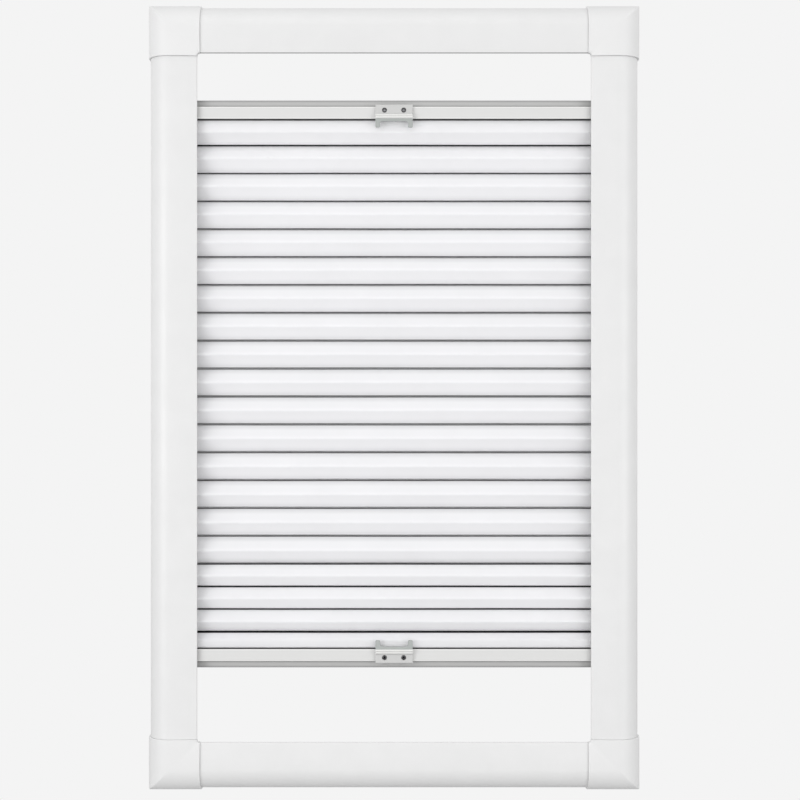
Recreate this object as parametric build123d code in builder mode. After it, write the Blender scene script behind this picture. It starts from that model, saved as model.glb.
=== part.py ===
"""Framed pleated blind that clips over a small window sash, in millimetres.

X runs across the blind, Y from the room towards the sash, and Z up. The origin is the middle of the
plane that seats on the sash, so the whole blind stands in front of it, at negative Y.
"""

import os
from math import asin, sqrt

from build123d import *

# Frame: four lengths of one extrusion round the opening
opening_width = 327.0
opening_height = 572.0
face_width = 40.5
frame_depth = 27.0
shoulder_radius = 18.0
lip_fall = 1.8
lip_wall = 1.8
lip_nose_radius = 0.6
frame_wall = 1.6
channel_depth = 13.0
back_wall_set_out = 5.5
clip_slot_width = 9.0
clip_slot_place = 27.0

# Corner caps: mouldings that butt against the extrusions and plug into their chambers
cap_proud = 1.6
cap_overlap = 2.4
cap_wall = 2.0
cap_inner_radius = 2.0
cap_skirt = 5.0
spigot_length = 24.0
spigot_wall = 2.0
spigot_clearance = 0.2

# Rails: one stepped extrusion, turned over for the bottom of the cloth
head_gap = 37.7
sill_gap = 60.7
rail_height = 16.1
rail_face_height = 10.1
rail_set_back = 4.2
rail_clearance = 1.6
rail_step = 5.0
rail_wall = 1.4
rail_edge_radius = 0.7
rail_reach = 7.0

# Guide ends of the rails and the felt brakes that press on the stiles
guide_thickness = 3.6
guide_clearance = 0.4
guide_chamfer = 1.6
plug_length = 12.0
plug_height = 7.0
plug_clearance = 0.15
brake_height = 9.0
brake_width = 12.0
brake_recess = 1.2
brake_clearance = 0.3

# Strip inside each rail that grips the end of the cloth, and the slot that the cloth leaves by
strip_share = 0.64
slot_share = 0.3
strip_thickness = 3.0
strip_slit_depth = 2.2
strip_clearance = 0.1

# Handles, screwed to the rails' faces
handle_width = 31.0
handle_height = 11.6
plate_thickness = 2.4
plate_corner_radius = 0.8
grip_height = 4.2
grip_rise = 2.2
grip_groove = 1.0
grip_drop = 0.6
ear_band = 1.9
ear_width = 3.9
ear_length = 5.2
ear_thickness = 2.2
ear_set_back = 1.2
ear_root_radius = 2.4
ear_tip_radius = 0.9
screw_spacing = 16.0
screw_height = 6.8
screw_head_diameter = 3.6
screw_head_height = 1.1
screw_sink_diameter = 4.3
screw_sink_depth = 1.5
screw_shank_diameter = 2.2
screw_shank_length = 6.0
screw_clearance = 0.1
screw_recess_width = 0.6
screw_recess_depth = 0.6

# Cloth: one pleated sheet, its panels cut to the channel's depth, with less pitch at both of its ends.
# A panel lies level against the next one at its back fold, bends, and runs flat to its front ridge.
panel_share = 0.908
panel_rise_share = 0.766
open_pitch_share = 1.181
first_pitch_share = 0.869
low_pitch_share = 0.81
last_pitch_share = 0.548
low_pleats = 3
cloth_thickness = 0.4
fold_gap = 0.5
bend_radius = 2.5
cloth_set_back = 0.6
cloth_reach = 6.0
cloth_tab_height = 3.4

right = Vector(1, 0, 0)
up = Vector(0, 0, 1)
front = Vector(0, -1, 0)
half_width = opening_width / 2
half_height = opening_height / 2
lip_height = frame_depth - lip_fall
channel_top = lip_height - lip_wall
crown_place = face_width - shoulder_radius
flank_height = frame_depth - shoulder_radius
web_face = channel_depth + frame_wall
rail_half_length = half_width + rail_reach
rail_front = lip_height - rail_set_back
rail_back = frame_wall + rail_clearance
rail_hollow = rail_front - rail_step - rail_back - 2 * rail_wall
strip_width = rail_hollow * strip_share
cloth_slot_width = rail_hollow * slot_share
cloth_slot_place = rail_back + rail_wall + 2 * strip_clearance + strip_width / 2

# The pleats share out the drop between the rails: as many open ones as come nearest to their own pitch
cloth_top = half_height - head_gap - rail_height
cloth_bottom = sill_gap + rail_height - half_height
cloth_drop = cloth_top - cloth_bottom - 2 * fold_gap
panel_length = (channel_top - frame_wall) * panel_share
end_shares = first_pitch_share + low_pleats * low_pitch_share + last_pitch_share
open_pleats = round(cloth_drop / (panel_length * open_pitch_share) - end_shares)
pleat_pitch = cloth_drop / (open_pleats + end_shares)
pitch_shares = [first_pitch_share] + [1] * open_pleats + [low_pitch_share] * low_pleats + [last_pitch_share]
pitches = [pleat_pitch * pitch_share for pitch_share in pitch_shares]
cloth_middle = (channel_top + frame_wall) / 2 - cloth_set_back

os.makedirs("parts", exist_ok=True)


def section_plane(outward, reach, along=Vector(0, 0, 0)):
    """Plane across a bar: local x runs outward from reach, local y forward from the sash."""
    return Plane(outward * reach + along, x_dir=outward, z_dir=outward.cross(front))


def front_plane(outward, reach, height):
    """Plane that faces the room at a height above the sash: local x to the right, local y outward."""
    return Plane(outward * reach + front * height, x_dir=right, z_dir=right.cross(outward))


def frame_outline(grow):
    """The frame's outer shape: a flank, a round shoulder and a crown that falls to the inner lip."""
    with BuildSketch() as outline:
        with BuildLine():
            Line((0, 0), (face_width + grow, 0))
            Line((face_width + grow, 0), (face_width + grow, flank_height))
            CenterArc((crown_place, flank_height), shoulder_radius + grow, 0, 90)
            TangentArc((crown_place, frame_depth + grow), (0, lip_height + grow), tangent=(-1, 0))
            Line((0, lip_height + grow), (0, 0))
        make_face()
    return outline.sketch


def chamber_outline(inset):
    """The frame's hollow outer chamber, drawn in by an inset on every side."""
    with BuildSketch() as outline:
        with BuildLine():
            inner = web_face + inset
            outer = face_width - frame_wall - inset
            low = frame_wall + inset
            high = frame_depth - frame_wall - inset
            Line((inner, low), (outer, low))
            Line((outer, low), (outer, flank_height))
            CenterArc((crown_place, flank_height), shoulder_radius - frame_wall - inset, 0, 90)
            Line((crown_place, high), (inner, high))
            Line((inner, high), (inner, low))
        make_face()
    return outline.sketch


# Head, sill and stiles: a channel for the rails inside, a chamber for the caps outside
with BuildSketch() as frame_section:
    add(frame_outline(0))
    with Locations((0, frame_wall)):
        Rectangle(
            channel_depth,
            channel_top - frame_wall,
            align=(Align.MIN, Align.MIN),
            mode=Mode.SUBTRACT,
        )
    Rectangle(back_wall_set_out, frame_wall, align=(Align.MIN, Align.MIN), mode=Mode.SUBTRACT)
    add(chamber_outline(0), mode=Mode.SUBTRACT)
    with Locations((clip_slot_place, 0)):
        Rectangle(
            clip_slot_width,
            frame_wall,
            align=(Align.CENTER, Align.MIN),
            mode=Mode.SUBTRACT,
        )
    lip_corners = frame_section.vertices().group_by(Axis.X)[0]
    fillet(lip_corners, lip_nose_radius)

stile_length = opening_height - 2 * cap_overlap
crossbar_length = opening_width - 2 * cap_overlap
members = {
    "left_stile": (-right, half_width, stile_length),
    "right_stile": (right, half_width, stile_length),
    "head_bar": (up, half_height, crossbar_length),
    "sill_bar": (-up, half_height, crossbar_length),
}
for name, (outward, reach, length) in members.items():
    with BuildPart() as member:
        with BuildSketch(section_plane(outward, reach)):
            add(frame_section.sketch)
        extrude(amount=length / 2, both=True)
    member.part.label = name
    export_step(member.part, f"parts/{name}.step")

# Corner caps: both arms of a corner, each with its outward and its lengthwise direction
inner_corner = right * half_width + up * half_height
arm_length = cap_overlap + face_width + cap_proud
arms = [
    (right, half_width, up, half_height),
    (up, half_height, right, half_width),
]


def mitred_arms(section, inset):
    """Two bars of a section that start an inset past the joint lines and meet at the diagonal."""
    pieces = []
    for outward, reach, lengthwise, end in arms:
        start = lengthwise * (end - cap_overlap + inset)
        with BuildPart() as arm:
            with BuildSketch(section_plane(outward, reach, start)):
                add(section)
            extrude(amount=arm_length, dir=lengthwise)
            split(
                bisect_by=Plane(inner_corner, x_dir=front, z_dir=outward - lengthwise),
                keep=Keep.TOP,
            )
        pieces.append(arm.part)
    return pieces


with BuildSketch() as cap_hollow:
    add(frame_outline(cap_proud - cap_wall))
    Rectangle(
        cap_wall,
        frame_depth + cap_proud,
        align=(Align.MIN, Align.MIN),
        mode=Mode.SUBTRACT,
    )

with BuildSketch() as spigot_section:
    add(chamber_outline(spigot_clearance))
    add(chamber_outline(spigot_clearance + spigot_wall), mode=Mode.SUBTRACT)

# Behind a short skirt the cap's inner corner stays open, in line with the bars' set-out back walls
corner_opening = cap_overlap + back_wall_set_out
with BuildPart() as cap:
    add(mitred_arms(frame_outline(cap_proud), 0))
    add(mitred_arms(cap_hollow.sketch, cap_wall), mode=Mode.SUBTRACT)
    with BuildSketch(front_plane(up, half_height, 0)):
        with Locations((half_width, 0)):
            Rectangle(cap_inner_radius, cap_inner_radius, align=(Align.MAX, Align.MAX))
        with Locations((half_width - cap_inner_radius, -cap_inner_radius)):
            Circle(cap_inner_radius, mode=Mode.SUBTRACT)
    extrude(amount=lip_height + cap_proud, dir=front)
    with BuildSketch(front_plane(up, half_height, 0)):
        with Locations((half_width - cap_overlap, -cap_overlap)):
            Rectangle(corner_opening, corner_opening, align=(Align.MIN, Align.MIN))
    extrude(amount=lip_height + cap_proud - cap_skirt, dir=front, mode=Mode.SUBTRACT)
    for outward, reach, lengthwise, end in arms:
        joint = lengthwise * (end - cap_overlap)
        with BuildSketch(section_plane(outward, reach, joint)):
            add(spigot_section.sketch)
        extrude(amount=spigot_length, dir=-lengthwise)

corners = {
    "corner_cap_top_right": [],
    "corner_cap_top_left": [Plane.YZ],
    "corner_cap_bottom_right": [Plane.XY],
    "corner_cap_bottom_left": [Plane.YZ, Plane.XY],
}
for name, turns in corners.items():
    corner = cap.part
    for turn in turns:
        corner = mirror(corner, about=turn)
    corner.label = name
    export_step(corner, f"parts/{name}.step")

# Rail section: local x runs from the cloth edge outwards, local y forward from the sash
with BuildSketch() as rail_section:
    with BuildLine():
        Polyline(
            (0, rail_back),
            (0, rail_front),
            (rail_face_height, rail_front),
            (rail_face_height, rail_front - rail_step),
            (rail_height, rail_front - rail_step),
            (rail_height, rail_back),
            close=True,
        )
    make_face()
    face_corners = rail_section.vertices().group_by(Axis.Y)[-1]
    outer_corners = rail_section.vertices().group_by(Axis.X)[-1]
    fillet(face_corners + outer_corners, rail_edge_radius)
    offset(amount=-rail_wall, mode=Mode.SUBTRACT)
    with Locations((0, cloth_slot_place)):
        Rectangle(
            2 * rail_wall,
            cloth_slot_width,
            mode=Mode.SUBTRACT,
        )

# Strip section: a bar that is wider than the cloth slot, slit to take the end of the cloth
strip_seat = rail_wall + strip_clearance
with BuildSketch() as strip_section:
    with Locations((strip_seat, cloth_slot_place)):
        Rectangle(strip_thickness, strip_width, align=(Align.MIN, Align.CENTER))
        Rectangle(
            strip_slit_depth,
            cloth_thickness + 2 * strip_clearance,
            align=(Align.MIN, Align.CENTER),
            mode=Mode.SUBTRACT,
        )

# Grip section: a plate on the rail's face, and two ribs in front of it along the cloth edge
plate_front = rail_front + plate_thickness
grip_front = plate_front + grip_rise
groove_place = (grip_height - grip_drop) / 2
with BuildSketch() as grip_section:
    with BuildLine():
        Line((handle_height, rail_front), (0, rail_front))
        Line((0, rail_front), (-grip_drop, plate_front - ear_set_back))
        Line((-grip_drop, plate_front - ear_set_back), (-grip_drop, plate_front))
        ThreePointArc(
            (-grip_drop, plate_front),
            ((groove_place - grip_drop) / 2, grip_front),
            (groove_place, grip_front - grip_groove),
        )
        ThreePointArc(
            (groove_place, grip_front - grip_groove),
            ((groove_place + grip_height) / 2, grip_front - grip_groove / 2),
            (grip_height, plate_front),
        )
        Line((grip_height, plate_front), (handle_height, plate_front))
        Line((handle_height, plate_front), (handle_height, rail_front))
    make_face()
    plate_corner = grip_section.vertices().sort_by(Axis.X)[-2:].sort_by(Axis.Y)[-1]
    fillet(plate_corner, plate_corner_radius)


def clipped_rectangle(height, width):
    """The outline of a guide end or a brake: a rectangle with its corners clipped."""
    with BuildSketch() as outline:
        Rectangle(height, width)
        chamfer(outline.vertices(), guide_chamfer)
    return outline.sketch


guide_depth = channel_top - frame_wall - 2 * guide_clearance
guide_middle = (channel_top + frame_wall) / 2
plug_middle = rail_height - rail_wall - plug_clearance - plug_height / 2
plug_back = rail_back + rail_wall + plug_clearance
plug_front = rail_front - rail_step - rail_wall - plug_clearance
brake_length = channel_depth - rail_reach - guide_thickness - brake_clearance + brake_recess
brake_start = rail_half_length + guide_thickness - brake_recess
ear_back = plate_front - ear_set_back
ear_reach = grip_drop + ear_band + ear_length
screw_seat = plate_front - screw_sink_depth

rails = {"top": (up, cloth_top), "bottom": (-up, -cloth_bottom)}
for rail_name, (outward, reach) in rails.items():
    section = section_plane(outward, reach)

    with BuildPart() as rail:
        with BuildSketch(section):
            add(rail_section.sketch)
        extrude(amount=rail_half_length, both=True)
        with BuildSketch(front_plane(outward, reach, rail_front)):
            with Locations((0, screw_height)):
                with GridLocations(screw_spacing, 0, 2, 1):
                    Circle(screw_shank_diameter / 2 + screw_clearance)
        extrude(amount=rail_wall, dir=-front, mode=Mode.SUBTRACT)
    rail.part.label = f"{rail_name}_rail"
    export_step(rail.part, f"parts/{rail_name}_rail.step")

    with BuildPart() as strip:
        with BuildSketch(section):
            add(strip_section.sketch)
        extrude(amount=half_width + cloth_reach, both=True)
    strip.part.label = f"{rail_name}_cloth_strip"
    export_step(strip.part, f"parts/{rail_name}_cloth_strip.step")

    for side_name, side in {"left": -right, "right": right}.items():
        with BuildPart() as guide:
            with BuildSketch(section_plane(outward, reach, side * rail_half_length)):
                with Locations((rail_height / 2, guide_middle)):
                    add(clipped_rectangle(rail_height, guide_depth))
            extrude(amount=guide_thickness, dir=side)
            with BuildSketch(section_plane(outward, reach, side * rail_half_length)):
                with Locations((plug_middle, plug_back)):
                    Rectangle(plug_height, plug_front - plug_back, align=(Align.CENTER, Align.MIN))
            extrude(amount=plug_length, dir=-side)
            with BuildSketch(section_plane(outward, reach, side * brake_start)):
                with Locations((rail_height / 2, guide_middle)):
                    add(clipped_rectangle(brake_height, brake_width))
            extrude(amount=brake_recess, dir=side, mode=Mode.SUBTRACT)
        guide.part.label = f"{rail_name}_guide_{side_name}"
        export_step(guide.part, f"parts/{rail_name}_guide_{side_name}.step")

        with BuildPart() as brake:
            with BuildSketch(section_plane(outward, reach, side * brake_start)):
                with Locations((rail_height / 2, guide_middle)):
                    add(clipped_rectangle(brake_height, brake_width))
            extrude(amount=brake_length, dir=side)
        brake.part.label = f"{rail_name}_brake_{side_name}"
        export_step(brake.part, f"parts/{rail_name}_brake_{side_name}.step")

    with BuildPart() as handle:
        with BuildSketch(section):
            add(grip_section.sketch)
        extrude(amount=handle_width / 2, both=True)
        with BuildSketch(front_plane(outward, reach, ear_back)) as ears:
            with Locations((0, -ear_reach)):
                Rectangle(handle_width, ear_reach, align=(Align.CENTER, Align.MIN))
                Rectangle(
                    handle_width - 2 * ear_width,
                    ear_length,
                    align=(Align.CENTER, Align.MIN),
                    mode=Mode.SUBTRACT,
                )
            rows = ears.vertices().group_by(Axis.Y)
            fillet(rows[1], ear_root_radius)
            fillet(rows[0], ear_tip_radius)
        extrude(amount=ear_thickness, dir=front)
        with BuildSketch(front_plane(outward, reach, plate_front)):
            with Locations((0, screw_height)):
                with GridLocations(screw_spacing, 0, 2, 1):
                    Circle(screw_sink_diameter / 2)
        extrude(amount=screw_sink_depth, dir=-front, mode=Mode.SUBTRACT)
        with BuildSketch(front_plane(outward, reach, plate_front)):
            with Locations((0, screw_height)):
                with GridLocations(screw_spacing, 0, 2, 1):
                    Circle(screw_shank_diameter / 2 + screw_clearance)
        extrude(amount=plate_thickness, dir=-front, mode=Mode.SUBTRACT)
    handle.part.label = f"{rail_name}_handle"
    export_step(handle.part, f"parts/{rail_name}_handle.step")

    with BuildPart() as screws:
        with BuildSketch(front_plane(outward, reach, screw_seat)):
            with Locations((0, screw_height)):
                with GridLocations(screw_spacing, 0, 2, 1):
                    Circle(screw_head_diameter / 2)
        extrude(amount=screw_head_height, dir=front)
        with BuildSketch(front_plane(outward, reach, screw_seat + screw_head_height)):
            with Locations((0, screw_height)):
                with GridLocations(screw_spacing, 0, 2, 1):
                    Rectangle(screw_recess_width, screw_head_diameter / 2)
                    Rectangle(screw_head_diameter / 2, screw_recess_width)
        extrude(amount=screw_recess_depth, dir=-front, mode=Mode.SUBTRACT)
        with BuildSketch(front_plane(outward, reach, screw_seat)):
            with Locations((0, screw_height)):
                with GridLocations(screw_spacing, 0, 2, 1):
                    Circle(screw_shank_diameter / 2)
        extrude(amount=screw_shank_length, dir=-front)
    screws.part.label = f"{rail_name}_handle_screws"
    export_step(screws.part, f"parts/{rail_name}_handle_screws.step")


def flat_length(pitch):
    """Length of a panel's flat part: it makes up the rise that the bend at the back fold leaves."""
    return (pitch / 2 - fold_gap - bend_rise) / panel_rise_share


def pleat_depth(pitch):
    """Depth of a pleat whose panels keep their length: what lies level, the bend and the flat part."""
    level_length = panel_length - bend_length - flat_length(pitch)
    return level_length + bend_forward + flat_length(pitch) * panel_forward_share


# Cloth: back folds and front ridges in turn, as chains of lines and arcs, local x up and local y forward
panel_forward_share = sqrt(1 - panel_rise_share**2)
bend_length = bend_radius * asin(panel_rise_share)
bend_rise = bend_radius * (1 - panel_forward_share)
bend_forward = bend_radius * panel_rise_share
mid_bend_up_share = sqrt((1 + panel_forward_share) / 2)
mid_bend_forward_share = sqrt((1 - panel_forward_share) / 2)
depths = [pleat_depth(pitch) for pitch in pitches]
tab_half = cloth_thickness / 2
tab_sides = (cloth_slot_place + tab_half, cloth_slot_place - tab_half)
folds = [(cloth_top - fold_gap, *tab_sides)]
for pitch, above, below in zip(pitches, depths, depths[1:]):
    back = cloth_middle - (above + below) / 4
    folds.append((folds[-1][0] - pitch, back, back))
folds.append((cloth_bottom + fold_gap, *tab_sides))
fold_back = fold_gap + cloth_thickness


def panel_line(fold, side, back, ridge, peak, thickness):
    """One skin of a panel, from back fold to front ridge; side is 1 below its fold and -1 above it."""
    level = fold - side * (fold_gap + thickness)
    radius = bend_radius - thickness
    turn = fold - side * (fold_gap + bend_radius)
    flat_rise = side * (turn - ridge) + bend_radius * panel_forward_share
    start = peak - flat_rise * panel_forward_share / panel_rise_share - bend_forward
    Line((level, back), (level, start))
    ThreePointArc(
        (level, start),
        (turn + side * radius * mid_bend_up_share, start + radius * mid_bend_forward_share),
        (turn + side * radius * panel_forward_share, start + radius * panel_rise_share),
    )
    Line(
        (turn + side * radius * panel_forward_share, start + radius * panel_rise_share),
        (ridge, peak - thickness / panel_rise_share),
    )


with BuildPart() as cloth:
    with BuildSketch(section_plane(up, 0)):
        with BuildLine():
            for (upper, *upper_backs), (lower, *lower_backs), depth in zip(folds, folds[1:], depths):
                ridge = (upper + lower) / 2
                peak = cloth_middle + depth / 2
                for skin, thickness in enumerate((0, cloth_thickness)):
                    panel_line(upper, 1, upper_backs[skin], ridge, peak, thickness)
                    panel_line(lower, -1, lower_backs[skin], ridge, peak, thickness)
            for fold, back, _ in folds[1:-1]:
                for crease in (fold_gap, fold_back):
                    Polyline((fold + crease, back), (fold, back - crease), (fold - crease, back))
            for end, side in ((cloth_top, 1), (cloth_bottom, -1)):
                Polyline(
                    (end - 2 * side * fold_gap, tab_sides[0]),
                    (end + side * cloth_tab_height, tab_sides[0]),
                    (end + side * cloth_tab_height, tab_sides[1]),
                    (end - side * (fold_gap + fold_back), tab_sides[1]),
                )
        make_face()
    extrude(amount=half_width + cloth_reach, both=True)
cloth.part.label = "pleated_cloth"
export_step(cloth.part, "parts/pleated_cloth.step")
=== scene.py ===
"""A framed pleated blind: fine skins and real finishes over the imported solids, on a pale studio stage."""

import bpy
import numpy as np
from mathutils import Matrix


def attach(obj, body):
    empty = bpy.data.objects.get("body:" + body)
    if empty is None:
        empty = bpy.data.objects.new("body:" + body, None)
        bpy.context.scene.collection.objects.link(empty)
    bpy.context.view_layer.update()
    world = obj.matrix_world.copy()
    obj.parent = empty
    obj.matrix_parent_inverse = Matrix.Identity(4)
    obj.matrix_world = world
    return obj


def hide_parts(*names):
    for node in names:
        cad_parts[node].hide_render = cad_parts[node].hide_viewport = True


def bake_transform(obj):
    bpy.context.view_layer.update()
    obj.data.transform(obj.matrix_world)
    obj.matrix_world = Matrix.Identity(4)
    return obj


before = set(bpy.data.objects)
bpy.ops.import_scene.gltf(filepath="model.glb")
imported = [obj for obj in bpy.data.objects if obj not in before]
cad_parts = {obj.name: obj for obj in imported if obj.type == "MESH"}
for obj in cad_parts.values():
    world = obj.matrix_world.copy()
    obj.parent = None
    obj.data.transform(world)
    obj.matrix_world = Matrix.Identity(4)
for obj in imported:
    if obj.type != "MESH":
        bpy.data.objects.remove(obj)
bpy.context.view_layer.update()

# Frame bars: four lengths of one white uPVC profile, extruded hollow through a polished die and sawn square.
# A channel along the inner side takes the rails' ends, and a slot in the back snaps over the sash brackets.
# Sizes are in millimetres, measured from the middle of the opening and forward from the sash.
mm = 0.001
to_room = (0, -1, 0)
opening_half_x = 163.5
opening_half_z = 286.0
bar_face = 40.5
bar_depth = 27.0
shoulder_radius = 18.0
lip_height = 25.2
lip_nose = 0.6
bar_wall = 1.6
bar_back_edge = 0.8
channel_depth = 13.0
channel_top = 23.4
back_wall_set_out = 5.5
bracket_slot = (22.5, 31.5)
cap_overlap = 2.4
joint_gap = 0.12
bar_support = 0.2
crown_steps = 16
nose_steps = crown_steps // 2
edge_steps = 6
back_edge_steps = 4
sharp_turn = 35
crown_place = bar_face - shoulder_radius
flank_height = bar_depth - shoulder_radius
crown_fall = bar_depth - lip_height
crown_radius = (crown_place**2 + crown_fall**2) / (2 * crown_fall)
chamber_in = channel_depth + bar_wall
chamber_out = bar_face - bar_wall
chamber_top = bar_depth - bar_wall


def arc(middle, radius, start, end, steps):
    """Points on a circle: the middle plus the radius times (cos, sin) of evenly spaced angles in degrees."""
    turn = np.radians(np.linspace(start, end, steps + 1))
    return np.stack([middle[0] + radius * np.cos(turn), middle[1] + radius * np.sin(turn)], -1)


def crown(grow, nose):
    """The bar's visible outline, grown outward: a round shoulder, then one wide arc that falls to the lip's
    nose."""
    fall_middle = bar_depth + grow - crown_radius
    fall_turn = np.degrees(np.arcsin((crown_place - nose) / crown_radius))
    return np.concatenate(
        [
            arc((crown_place, flank_height), shoulder_radius + grow, 0, 90, 2 * crown_steps),
            arc((crown_place, fall_middle), crown_radius, 90, 90 + fall_turn, crown_steps)[1:],
            arc((nose, lip_height + grow - nose), nose, 90, 180, nose_steps)[1:],
        ]
    )


def supported(section, near):
    """The same closed section with two more points on each side that is over four times as long as near, at
    that distance from its ends. They keep a flat side flat in the light where it meets a rounded edge."""
    ahead = np.roll(section, -1, 0) - section
    length = np.linalg.norm(ahead, axis=1, keepdims=True)
    step = near / np.maximum(length, near) * ahead
    points = np.stack([section, section + step, section + ahead - step], 1)
    long = length[:, 0] > 4 * near
    return points[np.stack([np.ones_like(long), long, long], 1)]


bar_section = np.concatenate(
    [
        [(back_wall_set_out, 0), (bracket_slot[0], 0), (bracket_slot[0], bar_wall)],
        [(chamber_in, bar_wall), (chamber_in, chamber_top)],
        arc((crown_place, flank_height), shoulder_radius - bar_wall, 90, 0, crown_steps),
        [(chamber_out, bar_wall), (bracket_slot[1], bar_wall), (bracket_slot[1], 0)],
        arc((bar_face - bar_back_edge, bar_back_edge), bar_back_edge, -90, 0, back_edge_steps),
        crown(0, lip_nose),
        arc((lip_nose, channel_top + lip_nose), lip_nose, 180, 270, edge_steps),
        [(channel_depth, channel_top), (channel_depth, bar_wall), (back_wall_set_out, bar_wall)],
    ]
)


def strip_faces(stations, around):
    """Quads of a grid that closes on itself around: each point with its next neighbour, on two stations in
    turn."""
    station, place = np.meshgrid(np.arange(stations - 1), np.arange(around), indexing="ij")
    here = station * around + place
    beside = station * around + (place + 1) % around
    return np.stack([here, beside, beside + around, here + around], -1).reshape(-1, 4)


def tube(rings):
    """A closed shell from rings of points, station by station, with both ends closed flat."""
    stations, around = rings.shape[:2]
    ends = [np.arange(around)[None, ::-1], np.arange(around)[None] + around * (stations - 1)]
    return rings.reshape(-1, 3), [strip_faces(stations, around), *ends]


def swept(section, lengths, across, forward, along):
    """A closed section carried straight along: across times its first value, forward times its second, plus
    along times the length."""
    return tube(
        section[None, :, :1] * np.array(across)
        + section[None, :, 1:] * np.array(forward)
        + np.array(lengths, float)[:, None, None] * np.array(along)
    )


def joined(*shells):
    """Several closed shells as one: their points in a row, and each shell's faces counted on from the one
    before."""
    starts = np.cumsum([0] + [len(points) for points, _ in shells])
    points = np.concatenate([points for points, _ in shells])
    return points, [face + start for (_, faces), start in zip(shells, starts) for face in faces]


def skin(name, shell, finish, creases=sharp_turn):
    """A piece at the origin from a closed shell in millimetres, turned so that its faces point outwards: the
    sum of a . (b x c) over its triangles is six times its volume, and is positive then. Edges that turn
    further than the creases' angle are sharp."""
    points, faces = shell[0] * mm, shell[1]
    fans = [face[:, [0, k, k + 1]] for face in faces for k in range(1, face.shape[1] - 1)]
    corners = points[np.concatenate(fans)]
    volume = np.einsum("ij,ij->", corners[:, 0], np.cross(corners[:, 1], corners[:, 2]))
    faces = [face if volume > 0 else face[:, ::-1] for face in faces]
    mesh = bpy.data.meshes.new(name)
    mesh.from_pydata(points, [], [corner for face in faces for corner in face.tolist()])
    mesh.shade_smooth()
    mesh.set_sharp_from_angle(angle=np.radians(creases))
    mesh.materials.append(finish)
    made = bpy.data.objects.new(name, mesh)
    bpy.context.scene.collection.objects.link(made)
    return made


def linear(colour):
    """An sRGB hex colour as linear RGBA: ((c + 0.055) / 1.055) to the power 2.4, or c / 12.92 for the
    darkest."""
    light = np.array([int(colour[k : k + 2], 16) for k in (1, 3, 5)]) / 255
    light = np.where(light > 0.04045, ((light + 0.055) / 1.055) ** 2.4, light / 12.92)
    return (*light.tolist(), 1.0)


def add_node(tree, kind, sockets=None, **settings):
    """Adds a node with its settings, and fills its sockets with plain values or with other nodes' outputs."""
    made = tree.nodes.new(kind)
    for name, value in settings.items():
        setattr(made, name, value)
    for name, value in (sockets or {}).items():
        if isinstance(value, bpy.types.NodeSocket):
            tree.links.new(value, made.inputs[name])
        else:
            made.inputs[name].default_value = value
    return made


def new_finish(name):
    """An empty node material, its tree and its output."""
    finish = bpy.data.materials.new(name)
    finish.use_nodes = True
    finish.node_tree.nodes.clear()
    return finish, finish.node_tree, add_node(finish.node_tree, "ShaderNodeOutputMaterial")


# White uPVC, extruded: a satin skin with a shallow ripple and a fine orange peel, no grain. The channel is
# drawn greyer as painted shade, and the head's lower edge is the greyest, a painted shadow line under the
# head
ripple_width = 22
peel_width = 1.4
ripple_share = 0.07
upvc, tree, out = new_finish("white extruded uPVC")
place = add_node(tree, "ShaderNodeTexCoord").outputs["Object"]
ripple = add_node(
    tree, "ShaderNodeTexNoise", {"Vector": place, "Scale": 1 / (ripple_width * mm), "Detail": 2.0}
)
peel = add_node(tree, "ShaderNodeTexNoise", {"Vector": place, "Scale": 1 / (peel_width * mm), "Detail": 3.0})
painted_shade = add_node(tree, "ShaderNodeAttribute", attribute_name="painted_shade").outputs["Fac"]
tone_with_painted_light = add_node(
    tree,
    "ShaderNodeMath",
    {0: ripple.outputs["Fac"], 1: ripple_share, 2: painted_shade},
    operation="MULTIPLY_ADD",
)
# Painted shade: the ramp's grey end darkens the channel and the head's lower edge
tone = add_node(tree, "ShaderNodeValToRGB", {"Fac": tone_with_painted_light.outputs["Value"]})
tone.color_ramp.elements[0].color = linear("#dfdfdf")
tone.color_ramp.elements[1].color = linear("#6e6e6e")
gloss = add_node(
    tree, "ShaderNodeMapRange", {"Value": ripple.outputs["Fac"], "To Min": 0.36, "To Max": 0.48}
)
relief = add_node(
    tree, "ShaderNodeBump", {"Height": peel.outputs["Fac"], "Strength": 0.12, "Distance": 0.0001}
)
shader = add_node(
    tree,
    "ShaderNodeBsdfPrincipled",
    {
        "Base Color": tone.outputs["Color"],
        "Roughness": gloss.outputs["Result"],
        "Normal": relief.outputs["Normal"],
        "IOR": 1.53,
    },
)
tree.links.new(shader.outputs["BSDF"], out.inputs["Surface"])

bars = {
    "left_stile": ((-1, 0, 0), opening_half_x, (0, 0, 1), opening_half_z),
    "right_stile": ((1, 0, 0), opening_half_x, (0, 0, 1), opening_half_z),
    "head_bar": ((0, 0, 1), opening_half_z, (1, 0, 0), opening_half_x),
    "sill_bar": ((0, 0, -1), opening_half_z, (1, 0, 0), opening_half_x),
}
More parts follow.
